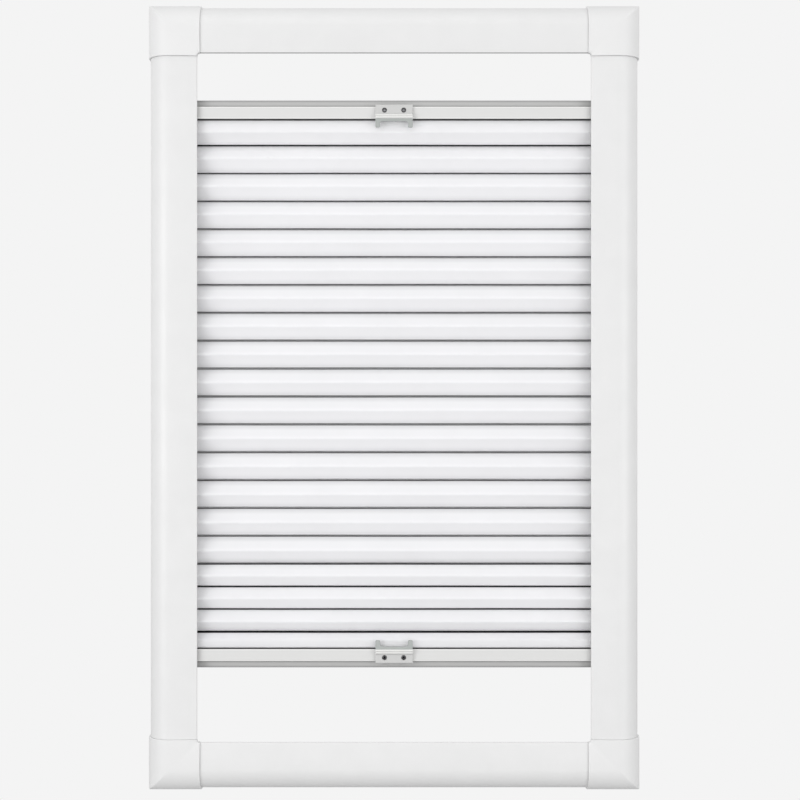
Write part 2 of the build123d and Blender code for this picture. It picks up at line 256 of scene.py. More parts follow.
# Shares of painted shade: partway to grey in the channels, all the way on the head's lip edge
channel_painted_shade = 0.6
nose_painted_shade = 1.0
pick_margin = 0.1
nose_start = lip_height - 0.05 * lip_nose
nose_middle = lip_height - 1.5 * lip_nose
bar_loop = supported(bar_section, bar_support)
bar_across, bar_forward = bar_loop.T
in_channel = (bar_across < channel_depth + pick_margin) & (bar_forward > bar_wall - pick_margin)
in_channel &= bar_forward < nose_middle
on_nose = (bar_across < lip_nose) & (bar_forward < nose_start)
for node, (across, reach, along, end) in bars.items():
    half_length = end - cap_overlap - joint_gap
    bar = skin(
        node.replace("_bar", "") + "_profile",
        swept(bar_loop + (reach, 0), (-half_length, half_length), across, to_room, along),
        upvc,
    )
    # Painted shade in the channel and on the head's lip edge
    painted_shade_share = np.where(on_nose & (node == "head_bar"), nose_painted_shade, channel_painted_shade * in_channel)
    painted_shade_values = np.tile(painted_shade_share, 2).astype(np.float32)
    bar.data.attributes.new("painted_shade", "FLOAT", "POINT").data.foreach_set("value", painted_shade_values)
    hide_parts(node)
    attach(bar, "frame_assembly")

# Corner caps: white ABS mouldings, hollow behind, that butt against the bars and stand a little proud of
# them. Each has a mitre crease at its outer corner, a short skirt at the inner one, and two plates with
# spigots that plug into the bars' chambers.
cap_proud = 1.6
cap_wall = 2.0
cap_nose = 0.9
cap_edge = 0.4
cap_corner = (1.8, 0.9)
cap_skirt = 5.0
plate_set_in = 0.1
spigot_length = 24.0
spigot_play = 0.2
spigot_wall = 2.0
spigot_steps = 12
corner_points = 11
rim_points = 6
# Supports lie just past the rounding of an edge, as shares of its radius
rim_support_share = 1.3
side_support_share = 1.1
skirt_low = lip_height + cap_proud - cap_skirt

cap_outer = np.concatenate([[(bar_face + cap_proud, 0)], crown(cap_proud, cap_nose), [(0, skirt_low)]])
cap_inner = np.concatenate(
    [
        [(cap_wall, skirt_low)],
        crown(cap_proud - cap_wall, cap_wall)[:-nose_steps][::-1],
        [(bar_face + cap_proud - cap_wall, 0)],
    ]
)
cap_section = np.concatenate([cap_outer, cap_inner])
plate_section = np.concatenate(
    [
        [(back_wall_set_out, plate_set_in), (bar_face + cap_proud / 2, plate_set_in)],
        np.maximum(crown(cap_proud / 2, cap_nose), (cap_wall / 2, 0)),
        [(cap_wall / 2, skirt_low + cap_wall / 2), (back_wall_set_out, skirt_low + cap_wall / 2)],
    ]
)


def outward_mitres(section):
    """Moves that shift every side of a closed section outward by one: the sum of the unit normals of a
    point's two sides, over one plus their dot product. The inside is on the left of a section that runs
    anticlockwise."""
    following = np.roll(section, -1, 0)
    ahead = following - section
    side = np.stack([ahead[:, 1], -ahead[:, 0]], -1) / np.linalg.norm(ahead, axis=1, keepdims=True)
    before = np.roll(side, 1, 0)
    turn = np.sign(np.sum(section[:, 0] * following[:, 1] - section[:, 1] * following[:, 0]))
    return turn * (before + side) / (1 + np.sum(before * side, axis=1, keepdims=True))


def rounded_end(section, edge):
    """A section near an end that is rounded: its sides draw in by edge times (1 - sin a), at edge times
    (1 - cos a) from the end. Returns the sections and their distances, with one more full section behind the
    rounding."""
    a = np.radians(np.linspace(0, 90, rim_points))
    drawn = section[None] - edge * (1 - np.sin(a))[:, None, None] * outward_mitres(section)[None]
    distances = np.append(edge * (1 - np.cos(a)), rim_support_share * edge)
    return np.concatenate([drawn, section[None]]), distances


def cap_shell():
    """The moulding's wall, carried up one arm of the corner, round it and along the other arm. The corner is
    an arc whose radius shrinks from the inner edge to the outer one, and both ends have a rounded rim."""
    section = supported(cap_section, side_support_share * cap_edge)
    drawn, start = rounded_end(section, cap_edge)
    start = np.broadcast_to((start - cap_overlap)[:, None], drawn.shape[:2])
    radius = np.interp(section[:, 0], (0, bar_face), cap_corner)
    b = np.radians(np.linspace(0, 90, corner_points))[:, None]
    first = np.stack([drawn[:, :, 0], -drawn[:, :, 1], start], -1)
    corner = np.stack(
        [
            section[:, 0] - radius + radius * np.cos(b),
            np.broadcast_to(-section[:, 1], (len(b), len(section))),
            section[:, 0] - radius + radius * np.sin(b),
        ],
        -1,
    )
    second = np.stack([start, -drawn[:, :, 1], drawn[:, :, 0]], -1)[::-1]
    return tube(np.concatenate([first, corner, second]) + (opening_half_x, 0, opening_half_z))


def chamber_loop(inset):
    """The bar's hollow chamber as a loop, drawn in on every side."""
    return np.concatenate(
        [
            [(chamber_in + inset, bar_wall + inset), (chamber_out - inset, bar_wall + inset)],
            arc((crown_place, flank_height), shoulder_radius - bar_wall - inset, 0, 90, spigot_steps),
            [(chamber_in + inset, chamber_top - inset)],
        ]
    )


def spigot(across, reach, along, end):
    """A tube in a bar's chamber: the outer loop from the joint to its tip and the inner loop back, closed as
    a ring."""
    outer = chamber_loop(spigot_play)
    inner = chamber_loop(spigot_play + spigot_wall)
    root = end - cap_overlap + cap_wall / 2
    tip = end - cap_overlap - spigot_length
    rings = [
        (loop[:, :1] + reach) * np.array(across) + loop[:, 1:] * np.array(to_room) + length * np.array(along)
        for loop, length in ((outer, root), (outer, tip), (inner, tip), (inner, root))
    ]
    points = np.concatenate(rings)
    return points, [strip_faces(len(rings) + 1, len(outer)) % len(points)]


# White ABS, injection moulded: the bars' white, with the fine matt grain of a spark-eroded mould
grain_width = 0.9
cloud_width = 30
cap_abs, tree, out = new_finish("white moulded ABS")
place = add_node(tree, "ShaderNodeTexCoord").outputs["Object"]
grain = add_node(
    tree, "ShaderNodeTexNoise", {"Vector": place, "Scale": 1 / (grain_width * mm), "Detail": 2.0}
)
cloud = add_node(
    tree, "ShaderNodeTexNoise", {"Vector": place, "Scale": 1 / (cloud_width * mm), "Detail": 1.0}
)
tone = add_node(tree, "ShaderNodeValToRGB", {"Fac": cloud.outputs["Fac"]})
tone.color_ramp.elements[0].color = linear("#dbdbdb")
tone.color_ramp.elements[1].color = linear("#e0e0e0")
gloss = add_node(
    tree, "ShaderNodeMapRange", {"Value": grain.outputs["Fac"], "To Min": 0.42, "To Max": 0.56}
)
relief = add_node(
    tree, "ShaderNodeBump", {"Height": grain.outputs["Fac"], "Strength": 0.2, "Distance": 0.0001}
)
shader = add_node(
    tree,
    "ShaderNodeBsdfPrincipled",
    {
        "Base Color": tone.outputs["Color"],
        "Roughness": gloss.outputs["Result"],
        "Normal": relief.outputs["Normal"],
        "IOR": 1.54,
    },
)
tree.links.new(shader.outputs["BSDF"], out.inputs["Surface"])

cap_arms = [bars["right_stile"], bars["head_bar"]]
cap_plates = [
    swept(
        plate_section + (reach, 0),
        (end - cap_overlap + cap_edge, end - cap_overlap + cap_wall),
        across,
        to_room,
        along,
    )
    for across, reach, along, end in cap_arms
]
cap_pieces = [cap_shell(), *cap_plates, *(spigot(*arm) for arm in cap_arms)]
for level, side_z in (("top", 1), ("bottom", -1)):
    for hand, side_x in (("left", -1), ("right", 1)):
        placed = [(points * (side_x, 1, side_z), faces) for points, faces in cap_pieces]
        cap = skin(f"cap_{level}_{hand}", joined(*placed), cap_abs)
        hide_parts(f"corner_cap_{level}_{hand}")
        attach(cap, "frame_assembly")

# Rails: a stepped aluminium extrusion, powder coated, with a slot that the cloth leaves by.
# The bottom one is the same extrusion turned over, so that both show their flat face towards the cloth.
cloth_top = 232.2
cloth_bottom = -209.2
rail_half_length = 170.5
rail_height = 16.1
rail_face = 10.1
rail_front = 21.0
rail_back = 3.2
rail_step = 5.0
rail_wall = 1.4
rail_edge = 0.7
rail_support = 0.15
cloth_slot = (6.5, 9.5)
step_points = 8
step_front = rail_front - rail_step
step_in = rail_face - rail_wall
wall_back = rail_back + rail_wall
step_line = np.linspace(rail_face, rail_height - side_support_share * rail_edge, step_points)
# Middles of the roundings on the face's two edges
face_edge = np.array((rail_edge, rail_front - rail_edge))
step_edge = np.array((rail_face - rail_edge, rail_front - rail_edge))
rail_section = supported(
    np.concatenate(
        [
            [(0, cloth_slot[1])],
            arc(face_edge, rail_edge, 180, 90, edge_steps),
            arc(step_edge, rail_edge, 90, 0, edge_steps),
            np.stack([step_line, np.full(step_points, step_front)], -1),
            arc((rail_height - rail_edge, step_front - rail_edge), rail_edge, 90, 0, edge_steps),
            arc((rail_height - rail_edge, rail_back + rail_edge), rail_edge, 0, -90, edge_steps),
            [(0, rail_back), (0, cloth_slot[0]), (rail_wall, cloth_slot[0]), (rail_wall, wall_back)],
            [(rail_height - rail_wall, wall_back), (rail_height - rail_wall, step_front - rail_wall)],
            [(step_in, step_front - rail_wall), (step_in, rail_front - rail_wall)],
            [(rail_wall, rail_front - rail_wall), (rail_wall, cloth_slot[1])],
        ]
    ),
    rail_support,
)

# Powder-coated aluminium: a fine orange peel on the face, a painted highlight along the face's rounded
# edges, a greyer tone in the step that darkens towards its edges as painted shade, and painted shade under
# the rail
coat_peel_width = 1.2
# Ramp places: the face's own tone, a painted highlight on its edges, the step's grey, and painted shade under
# the rail
face_coat = 0.5
edge_painted_highlight = 0.85
step_grey = 0.32
under_painted_shade = 0.0
powder, tree, out = new_finish("powder-coated aluminium")
place = add_node(tree, "ShaderNodeTexCoord").outputs["Object"]
coat_and_painted_light = add_node(tree, "ShaderNodeAttribute", attribute_name="coat_and_painted_light").outputs["Fac"]
peel = add_node(
    tree, "ShaderNodeTexNoise", {"Vector": place, "Scale": 1 / (coat_peel_width * mm), "Detail": 2.0}
)
# The ramp runs from painted shade under the rail to a painted highlight on the face's edges, with the face's
# own tone between
tone = add_node(tree, "ShaderNodeValToRGB", {"Fac": coat_and_painted_light})
tone.color_ramp.elements[0].color = linear("#6a6a6a")
tone.color_ramp.elements[1].color = linear("#f0f0ee")
tone.color_ramp.elements.new(face_coat).color = linear("#d3d3d2")
gloss = add_node(
    tree, "ShaderNodeMapRange", {"Value": peel.outputs["Fac"], "To Min": 0.36, "To Max": 0.5}
)
relief = add_node(
    tree, "ShaderNodeBump", {"Height": peel.outputs["Fac"], "Strength": 0.18, "Distance": 0.0001}
)
shader = add_node(
    tree,
    "ShaderNodeBsdfPrincipled",
    {
        "Base Color": tone.outputs["Color"],
        "Roughness": gloss.outputs["Result"],
        "Normal": relief.outputs["Normal"],
        "IOR": 1.5,
    },
)
tree.links.new(shader.outputs["BSDF"], out.inputs["Surface"])

rails = {"top": (1, cloth_top), "bottom": (-1, -cloth_bottom)}
hair = 0.01
step_share = (rail_section[:, 0] - rail_face) / (rail_height - rail_face)
on_step = (step_share > -hair) & (rail_section[:, 1] < step_front + hair)
beneath = rail_section[:, 0] < 0.2 * rail_edge
from_edge = np.linalg.norm(rail_section[:, None] - (face_edge, step_edge), axis=2).min(axis=1)
on_edge = (np.abs(from_edge - rail_edge) < hair) & ~beneath
# The step's grey darkens from its middle towards both edges, as painted shade
coat_tones_and_light = [step_grey - (step_share - 0.5) ** 2, under_painted_shade, edge_painted_highlight]
# Painted highlight on the face's edges, painted shade under the rail and along the step's edges
coat_and_light_share = np.select([on_step, beneath, on_edge], coat_tones_and_light, face_coat)
coat_and_light_values = np.tile(coat_and_light_share, 2).astype(np.float32)
for level, (side_z, reach) in rails.items():
    rail = skin(
        f"{level}_rail_profile",
        swept(
            rail_section + (reach, 0),
            (-rail_half_length, rail_half_length),
            (0, 0, side_z),
            to_room,
            (1, 0, 0),
        ),
        powder,
    )
    rail.data.attributes.new("coat_and_painted_light", "FLOAT", "POINT").data.foreach_set("value", coat_and_light_values)
    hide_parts(f"{level}_rail")
    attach(rail, f"{level}_rail_assembly")

# Guide ends, brakes and cloth strips: nylon plugs in the rails' ends, felt pads glued to them, and strips of
# the same nylon that grip the cloth inside the rails. They sit in the stiles' channels and the rails, and
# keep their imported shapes.

# Natural nylon, moulded: a warm milky white with a fine grain
nylon_grain_width = 1
nylon, tree, out = new_finish("natural moulded nylon")
place = add_node(tree, "ShaderNodeTexCoord").outputs["Object"]
grain = add_node(
    tree, "ShaderNodeTexNoise", {"Vector": place, "Scale": 1 / (nylon_grain_width * mm), "Detail": 2.0}
)
tone = add_node(tree, "ShaderNodeValToRGB", {"Fac": grain.outputs["Fac"]})
tone.color_ramp.elements[0].color = linear("#d6d5d0")
tone.color_ramp.elements[1].color = linear("#dddcd8")
relief = add_node(
    tree, "ShaderNodeBump", {"Height": grain.outputs["Fac"], "Strength": 0.2, "Distance": 0.0001}
)
shader = add_node(
    tree,
    "ShaderNodeBsdfPrincipled",
    {
        "Base Color": tone.outputs["Color"],
        "Roughness": 0.45,
        "Normal": relief.outputs["Normal"],
        "IOR": 1.53,
    },
)
tree.links.new(shader.outputs["BSDF"], out.inputs["Surface"])

# Grey wool felt: matted fibres, drawn at 0.5 mm, that soak up light and show no gloss
fibre_width = 0.5
felt, tree, out = new_finish("grey wool felt")
place = add_node(tree, "ShaderNodeTexCoord").outputs["Object"]
fibre = add_node(
    tree,
    "ShaderNodeTexNoise",
    {"Vector": place, "Scale": 1 / (fibre_width * mm), "Detail": 4.0, "Distortion": 1.0},
)
tone = add_node(tree, "ShaderNodeValToRGB", {"Fac": fibre.outputs["Fac"]})
tone.color_ramp.elements[0].color = linear("#4c4c4e")
tone.color_ramp.elements[1].color = linear("#77777a")
relief = add_node(
    tree, "ShaderNodeBump", {"Height": fibre.outputs["Fac"], "Strength": 0.7, "Distance": 0.0003}
)
shader = add_node(
    tree,
    "ShaderNodeBsdfPrincipled",
    {
        "Base Color": tone.outputs["Color"],
        "Roughness": 0.95,
        "Normal": relief.outputs["Normal"],
        "Sheen Weight": 0.3,
    },
)
tree.links.new(shader.outputs["BSDF"], out.inputs["Surface"])

for level in rails:
    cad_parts[f"{level}_cloth_strip"].data.materials[0] = nylon
    for hand in ("left", "right"):
        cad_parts[f"{level}_guide_{hand}"].data.materials[0] = nylon
        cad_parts[f"{level}_brake_{hand}"].data.materials[0] = felt

# Handles: ABS tabs screwed to the rails' faces. A plate carries the screws, two ribs give the fingers grip,
# and a flat band with two ears reaches over the cloth below the ribs.
handle_half = 15.5
handle_height = 11.6
plate_front = 23.4
plate_corner = 0.8
grip_height = 4.2
grip_front = 25.6
grip_drop = 0.6
groove_front = 24.6
handle_edge = 0.35
ear_width = 3.9
ear_length = 5.2
ear_band = 1.9
ear_back = 22.2
ear_front = 24.4
ear_root = 2.4
ear_tip = 0.9
ear_edge = 0.35
screw_place = 8.0
screw_height = 6.8
sink_radius = 2.15
sink_depth = 1.5
sink_overrun = 1.0
rib_steps = 14
tip_steps = 5
root_steps = 7
sink_steps = 40
groove_place = (grip_height - grip_drop) / 2


def rib(start, top, end):
    """A parabola through three points: its middle control is twice the top less half of the two ends."""
    t = np.linspace(0, 1, rib_steps + 1)[:, None]
    start, top, end = np.array(start), np.array(top), np.array(end)
    middle = 2 * top - (start + end) / 2
    return (1 - t) ** 2 * start + 2 * t * (1 - t) * middle + t**2 * end


handle_section = np.concatenate(
    [
        [(handle_height, rail_front), (0, rail_front), (-grip_drop, ear_back)],
        rib(
            (-grip_drop, plate_front),
            ((groove_place - grip_drop) / 2, grip_front),
            (groove_place, groove_front),
        ),
        rib(
            (groove_place, groove_front),
            ((groove_place + grip_height) / 2, (grip_front + groove_front) / 2),
            (grip_height, plate_front),
        )[1:],
        arc((handle_height - plate_corner, plate_front - plate_corner), plate_corner, 90, 0, tip_steps),
    ]
)


def rounded_block(section, start, end, edge, across, forward, along):
    """A closed section carried along from a start to an end, both rounded."""
    drawn, place = rounded_end(section, edge)
    sections = np.concatenate([drawn, drawn[::-1]])
    places = np.concatenate([start + place, end - place[::-1]])
    return tube(
        sections[..., :1] * np.array(across)
        + sections[..., 1:] * np.array(forward)
        + places[:, None, None] * np.array(along)
    )


ear_in = handle_half - ear_width
band_low = -grip_drop - ear_band
ear_low = band_low - ear_length
ear_side = np.concatenate(
    [
        [(handle_half, 0)],
        arc((handle_half - ear_tip, ear_low + ear_tip), ear_tip, 0, -90, tip_steps),
        arc((ear_in + ear_tip, ear_low + ear_tip), ear_tip, -90, -180, tip_steps),
        arc((ear_in - ear_root, band_low - ear_root), ear_root, 0, 90, root_steps),
    ]
)
ear_outline = np.concatenate([ear_side, (ear_side * (-1, 1))[::-1]])

# Pale grey ABS, moulded: satin, with the caps' fine grain. The ribs' crests are drawn lighter than the plate,
# a painted highlight that grows towards the front, and the ears behind them are greyer
highlight_start = plate_front + 0.2
grain_share = 0.15
handle_tones = {
    "pale grey ABS plate": ("#c0c0bf", "#e2e2e0"),
    "grey ABS ears": ("#9fa3a1", "#a8acaa"),
}
handle_finishes = {}
for name, (base, crest_highlight) in handle_tones.items():
    abs_grey, tree, out = new_finish(name)
    place = add_node(tree, "ShaderNodeTexCoord").outputs["Object"]
    grain = add_node(
        tree, "ShaderNodeTexNoise", {"Vector": place, "Scale": 1 / (grain_width * mm), "Detail": 2.0}
    )
    depth = add_node(tree, "ShaderNodeSeparateXYZ", {"Vector": place}).outputs["Y"]
    # Painted highlight: lighter the further forward a point stands, up to the ribs' crests
    height = add_node(
        tree,
        "ShaderNodeMapRange",
        {"Value": depth, "From Min": -highlight_start * mm, "From Max": -grip_front * mm},
    )
    tone_with_painted_light = add_node(
        tree,
        "ShaderNodeMath",
        {0: grain.outputs["Fac"], 1: grain_share, 2: height.outputs["Result"]},
        operation="MULTIPLY_ADD",
    )
    tone = add_node(tree, "ShaderNodeValToRGB", {"Fac": tone_with_painted_light.outputs["Value"]})
    tone.color_ramp.elements[0].color = linear(base)
    tone.color_ramp.elements[1].color = linear(crest_highlight)
    relief = add_node(
        tree, "ShaderNodeBump", {"Height": grain.outputs["Fac"], "Strength": 0.15, "Distance": 0.0001}
    )
    shader = add_node(
        tree,
        "ShaderNodeBsdfPrincipled",
        {
            "Base Color": tone.outputs["Color"],
            "Roughness": 0.36,
            "Normal": relief.outputs["Normal"],
            "IOR": 1.54,
        },
    )
    tree.links.new(shader.outputs["BSDF"], out.inputs["Surface"])
    handle_finishes[name] = abs_grey

for level, (side_z, reach) in rails.items():
    plate = skin(
        f"{level}_handle_plate",
        rounded_block(
            supported(handle_section, side_support_share * handle_edge) + (reach, 0),
            -handle_half,
            handle_half,
            handle_edge,
            (0, 0, side_z),
            to_room,
            (1, 0, 0),
        ),
        handle_finishes["pale grey ABS plate"],
    )
    circle = arc((0, 0), sink_radius, 0, 360, sink_steps)[:-1]
    sinks = [
        swept(
            circle + (x, reach + screw_height),
            (plate_front - sink_depth, plate_front + sink_overrun),
            (1, 0, 0),
            (0, 0, side_z),
            to_room,
        )
        for x in (-screw_place, screw_place)
    ]
    cutter = skin("sink_cutter", joined(*sinks), handle_finishes["pale grey ABS plate"])
    cut = plate.modifiers.new("sinks", "BOOLEAN")
    cut.object = cutter
    cut.operation = "DIFFERENCE"
    cut.solver = "EXACT"
    carved = bpy.data.meshes.new_from_object(plate.evaluated_get(bpy.context.evaluated_depsgraph_get()))
    carved.set_sharp_from_angle(angle=np.radians(sharp_turn))
    plate.modifiers.clear()
    plate.data = carved
    bpy.data.objects.remove(cutter)
    ears = skin(
        f"{level}_handle_ears",
        rounded_block(
            supported(ear_outline, side_support_share * ear_edge) + (0, reach),
            ear_back,
            ear_front,
            ear_edge,
            (1, 0, 0),
            (0, 0, side_z),
            to_room,
        ),
        handle_finishes["grey ABS ears"],
    )
    for piece in (plate, ears):
        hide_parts(f"{level}_handle")
        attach(piece, f"{level}_rail_assembly")

# Handle screws: small domed steel screws, zinc plated and passivated dark, with a cross recess.
# They sit in the plate's round sinks and bite through the rail's face.
head_radius = 1.8
head_seat = 21.9
head_rim = 22.7
head_dome = 0.45
head_pole = 0.02
head_rings = 26
screw_around = 72
screw_turns = (0.4, 1.1)
recess_half = 0.3
recess_reach = 0.95
recess_depth = 0.55
recess_side_blur = 0.05
recess_end_blur = 0.06
shank_radius = 1.1
shank_end = 15.9
painted_middle_radius = 0.85
painted_middle_blur = 0.08


def within(distance, limit, blur):
    """A soft step from 1 well within the limit to 0 well past it: one over one plus e to the power of the
    distance past the limit, counted in blurs."""
    return 1 / (1 + np.exp((distance - limit) / blur))


def screw_shell(x, z, turned):
    """A turned screw on a polar grid: a dome over the head that falls with the square of the radius, less a
    soft-edged cross, then the head's side, the seat, the shank and its end, ring by ring."""
    angle = np.linspace(0, 2 * np.pi, screw_around, endpoint=False)
    r, a = np.meshgrid(np.linspace(head_pole, head_radius, head_rings), angle, indexing="ij")
    local_x = np.abs(r * np.cos(a - turned))
    local_z = np.abs(r * np.sin(a - turned))
    slim = [within(v, recess_half, recess_side_blur) for v in (local_x, local_z)]
    long = [within(v, recess_reach, recess_end_blur) for v in (local_z, local_x)]
    cross = np.maximum(slim[0] * long[0], slim[1] * long[1])
    top = head_rim + head_dome * (1 - (r / head_radius) ** 2) - recess_depth * cross
    below_r = np.array([head_radius, shank_radius, shank_radius])[:, None] + 0 * angle
    below_h = np.array([head_seat, head_seat, shank_end])[:, None] + 0 * angle
    r = np.concatenate([r, below_r])
    h = np.concatenate([top, below_h])
    return tube(np.stack([x + r * np.cos(angle), -h, z + r * np.sin(angle)], -1))


# Zinc-plated steel, passivated dark: metallic, with faint turning marks. The middles of the top screws carry
# a painted highlight, and the middles of the bottom ones painted shade
mark_width = 0.4
steel, tree, out = new_finish("passivated zinc on steel")
place = add_node(tree, "ShaderNodeTexCoord").outputs["Object"]
marks = add_node(tree, "ShaderNodeTexNoise", {"Vector": place, "Scale": 1 / (mark_width * mm), "Detail": 3.0})
painted_middle_light = add_node(tree, "ShaderNodeAttribute", attribute_name="painted_middle_light").outputs["Fac"]
# Painted light: the ramp's light end is a painted highlight, its dark end painted shade, the middle stop the
# plain head
tone = add_node(tree, "ShaderNodeValToRGB", {"Fac": painted_middle_light})
tone.color_ramp.elements[0].color = linear("#1c1c1e")
tone.color_ramp.elements[1].color = linear("#a6a6a8")
tone.color_ramp.elements.new(0.5).color = linear("#5c5c5e")
gloss = add_node(
    tree, "ShaderNodeMapRange", {"Value": marks.outputs["Fac"], "To Min": 0.28, "To Max": 0.45}
)
shader = add_node(
    tree,
    "ShaderNodeBsdfPrincipled",
    {"Base Color": tone.outputs["Color"], "Metallic": 1.0, "Roughness": gloss.outputs["Result"]},
)
tree.links.new(shader.outputs["BSDF"], out.inputs["Surface"])

for level, (side_z, reach) in rails.items():
    z = side_z * (reach + screw_height)
    pair = [screw_shell(x, z, turned) for x, turned in zip((-screw_place, screw_place), screw_turns)]
    screws = skin(f"{level}_screws", joined(*pair), steel)
    points = np.empty(3 * len(screws.data.vertices), np.float32)
    screws.data.vertices.foreach_get("co", points)
    from_middle = np.hypot(np.abs(points[0::3] / mm) - screw_place, points[2::3] / mm - z)
    # 0.5 is the plain head, 1 a painted highlight in the middle and 0 painted shade there
    painted_middle_share = 0.5 + 0.5 * side_z * within(from_middle, painted_middle_radius, painted_middle_blur)
    painted_middle_values = painted_middle_share.astype(np.float32)
    screws.data.attributes.new("painted_middle_light", "FLOAT", "POINT").data.foreach_set("value", painted_middle_values)
    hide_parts(f"{level}_handle_screws")
    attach(screws, f"{level}_rail_assembly")

# Pleated cloth: one sheet of white polyester, creased hot into panels of one length and clamped in both
# rails. It opens wide where it hangs free and closes up over the bottom rail. The sheet is drawn in two
# halves, above and below its middle fold.
cloth_half_width = 169.5
cloth_thickness = 0.4
cloth_middle = 11.9
cloth_columns = 49
cloth_creases = 60
panel_length = 19.79
panel_slope = np.arcsin(0.766)
end_slope = np.radians(80)
bend_radius = 2.5
end_bend = 1.2
end_lift = 0.3
ridge_radius = 1.2
fold_gap = 0.5
cloth_slot_place = 8.0
cloth_tab = 3.4
middle_fold = 10
stretch_points = 6
bend_points = 9
half_thickness = cloth_thickness / 2
pitch_shares = np.array([0.869] + [1.0] * 15 + [0.81] * 3 + [0.548])
pitches = pitch_shares * (cloth_top - cloth_bottom - 2 * fold_gap) / pitch_shares.sum()
fold_z = cloth_top - fold_gap - np.concatenate([[0], np.cumsum(pitches)])
ridge_z = (fold_z[1:] + fold_z[:-1]) / 2

# A panel lies level against the next one at its back fold, bends, and runs flat to its front ridge
flat_length = (pitches / 2 - fold_gap - bend_radius * (1 - np.cos(panel_slope))) / np.sin(panel_slope)
level_length = panel_length - bend_radius * panel_slope - flat_length
depths = level_length + bend_radius * np.sin(panel_slope) + flat_length * np.cos(panel_slope)
fold_front = np.concatenate(
    [[cloth_slot_place], cloth_middle - (depths[:-1] + depths[1:]) / 4, [cloth_slot_place]]
)
ridge_set_back = (half_thickness + ridge_radius) / np.sin(panel_slope)
ridge_front = cloth_middle + depths / 2 - ridge_set_back + ridge_radius
upper_slope = np.append(end_slope, np.full(len(pitches) - 1, panel_slope))
lower_slope = upper_slope[::-1]
upper_bend = np.append(end_bend, np.full(len(pitches) - 1, bend_radius))
lower_bend = upper_bend[::-1]
# The two end panels lie close against the rails
fold_z[[0, -1]] += (end_lift, -end_lift)
crease_line = np.stack([fold_z, fold_front - fold_gap - half_thickness], -1)


def panels(folds, backs, ridges, fronts, slopes, bends, side):
    """Panels' middle lines as height and distance forward, from the back fold to the front ridge: a level
    run, an arc through the slope's angle, a flat stretch, and half of the ridge's own small arc. Side is 1
    for panels below their folds and -1 for those above."""
    radius = bends - half_thickness
    run_z = folds - side * (fold_gap + half_thickness)
    turn = run_z - side * radius
    tip_middle = fronts - ridge_radius
    flat_rise = side * (turn - ridges) + radius * np.cos(slopes)
    bend_end = tip_middle + ridge_radius / np.sin(slopes) - flat_rise / np.tan(slopes)
    start = bend_end - radius * np.sin(slopes)
    t = np.linspace(0, 1, stretch_points)[:, None]
    run = np.stack([run_z + 0 * t, backs + t * (start - backs)], -1)
    a = slopes * np.linspace(0, 1, bend_points)[1:, None]
    bend = np.stack([turn + side * radius * np.cos(a), start + radius * np.sin(a)], -1)
    b = (np.pi / 2 - slopes) * np.linspace(1, 0, stretch_points)[:, None]
    tip = np.stack([ridges + side * ridge_radius * np.sin(b), tip_middle + ridge_radius * np.cos(b)], -1)
    flat = bend[-1] + t[1:-1, :, None] * (tip[0] - bend[-1])
    return np.concatenate([run, bend, flat, tip]).transpose(1, 0, 2)


def pleat_line(first, last):
    """The sheet's middle line down the pleats: each upper panel forward, the lower one back, then the back
    crease."""
    above, below = slice(first, last), slice(first + 1, last + 1)
    ridges = ridge_z[above], ridge_front[above]
    upper = panels(fold_z[above], fold_front[above], *ridges, upper_slope[above], upper_bend[above], 1)
    lower = panels(fold_z[below], fold_front[below], *ridges, lower_slope[above], lower_bend[above], -1)
    return np.concatenate([upper, lower[:, -2::-1], crease_line[below, None]], 1).reshape(-1, 2)


# Rise of each slow wave across the cloth, its length over two pi, and its turn from one pleat to the next
wander_waves = ((0.03, 47, 1.7), (0.02, 19, 2.9))
wander_fade = 12


def cloth_shell(line):
    """A thin closed sheet: the line moved half a thickness to each side along its normals, carried across
    the width. Across the width the pleats wander up and down by up to 0.05 mm on slow sines, so that none is
    quite straight, and the wander fades out at the rails."""
    ahead = np.gradient(line, axis=0)
    normal = np.stack([ahead[:, 1], -ahead[:, 0]], -1) / np.linalg.norm(ahead, axis=1, keepdims=True)
    loop = np.concatenate([line + normal * half_thickness, (line - normal * half_thickness)[::-1]])
    x = np.linspace(-cloth_half_width, cloth_half_width, cloth_columns)[:, None]
    height = loop[None, :, 0]
    free = np.clip(np.minimum(cloth_top - height, height - cloth_bottom) / wander_fade, 0, 1)
    pleat = height / pitches[middle_fold]
    wander = sum(rise * np.sin(x / length + turn * pleat) for rise, length, turn in wander_waves)
    height = height + free * wander
    return tube(np.stack([x + 0 * height, -loop[None, :, 1] + 0 * height, height], -1))


dark_turn = 0.76
dark_turn_loss = 0.34
faint_share = 0.1
faint_reach = 3.0


def painted_fold_shade_share(line):
    """The share of painted shade at a point of the sheet, by how far it lies inside a closed back fold: on the
    front side, 1 less the square of the line's turn from level over a limit, which falls from 0.76 radians at
    mid-height to 0.42 at the top rail. Behind the cloth's middle it is a tenth at least, which grows over 3
    mm.
    On the rear side it is 0."""
    ahead = np.gradient(line, axis=0)
    turned = np.arctan2(np.abs(ahead[:, 0]), np.abs(ahead[:, 1]))
    near = np.clip((cloth_middle + faint_reach / 2 - line[:, 1]) / faint_reach, 0, 1)
    reach = dark_turn - dark_turn_loss * (line[:, 0] / cloth_top) ** 2
    painted_fold_shade = np.maximum(np.clip(1 - (turned / reach) ** 2, 0, 1), faint_share * near)
    return np.concatenate([painted_fold_shade, 0 * painted_fold_shade])


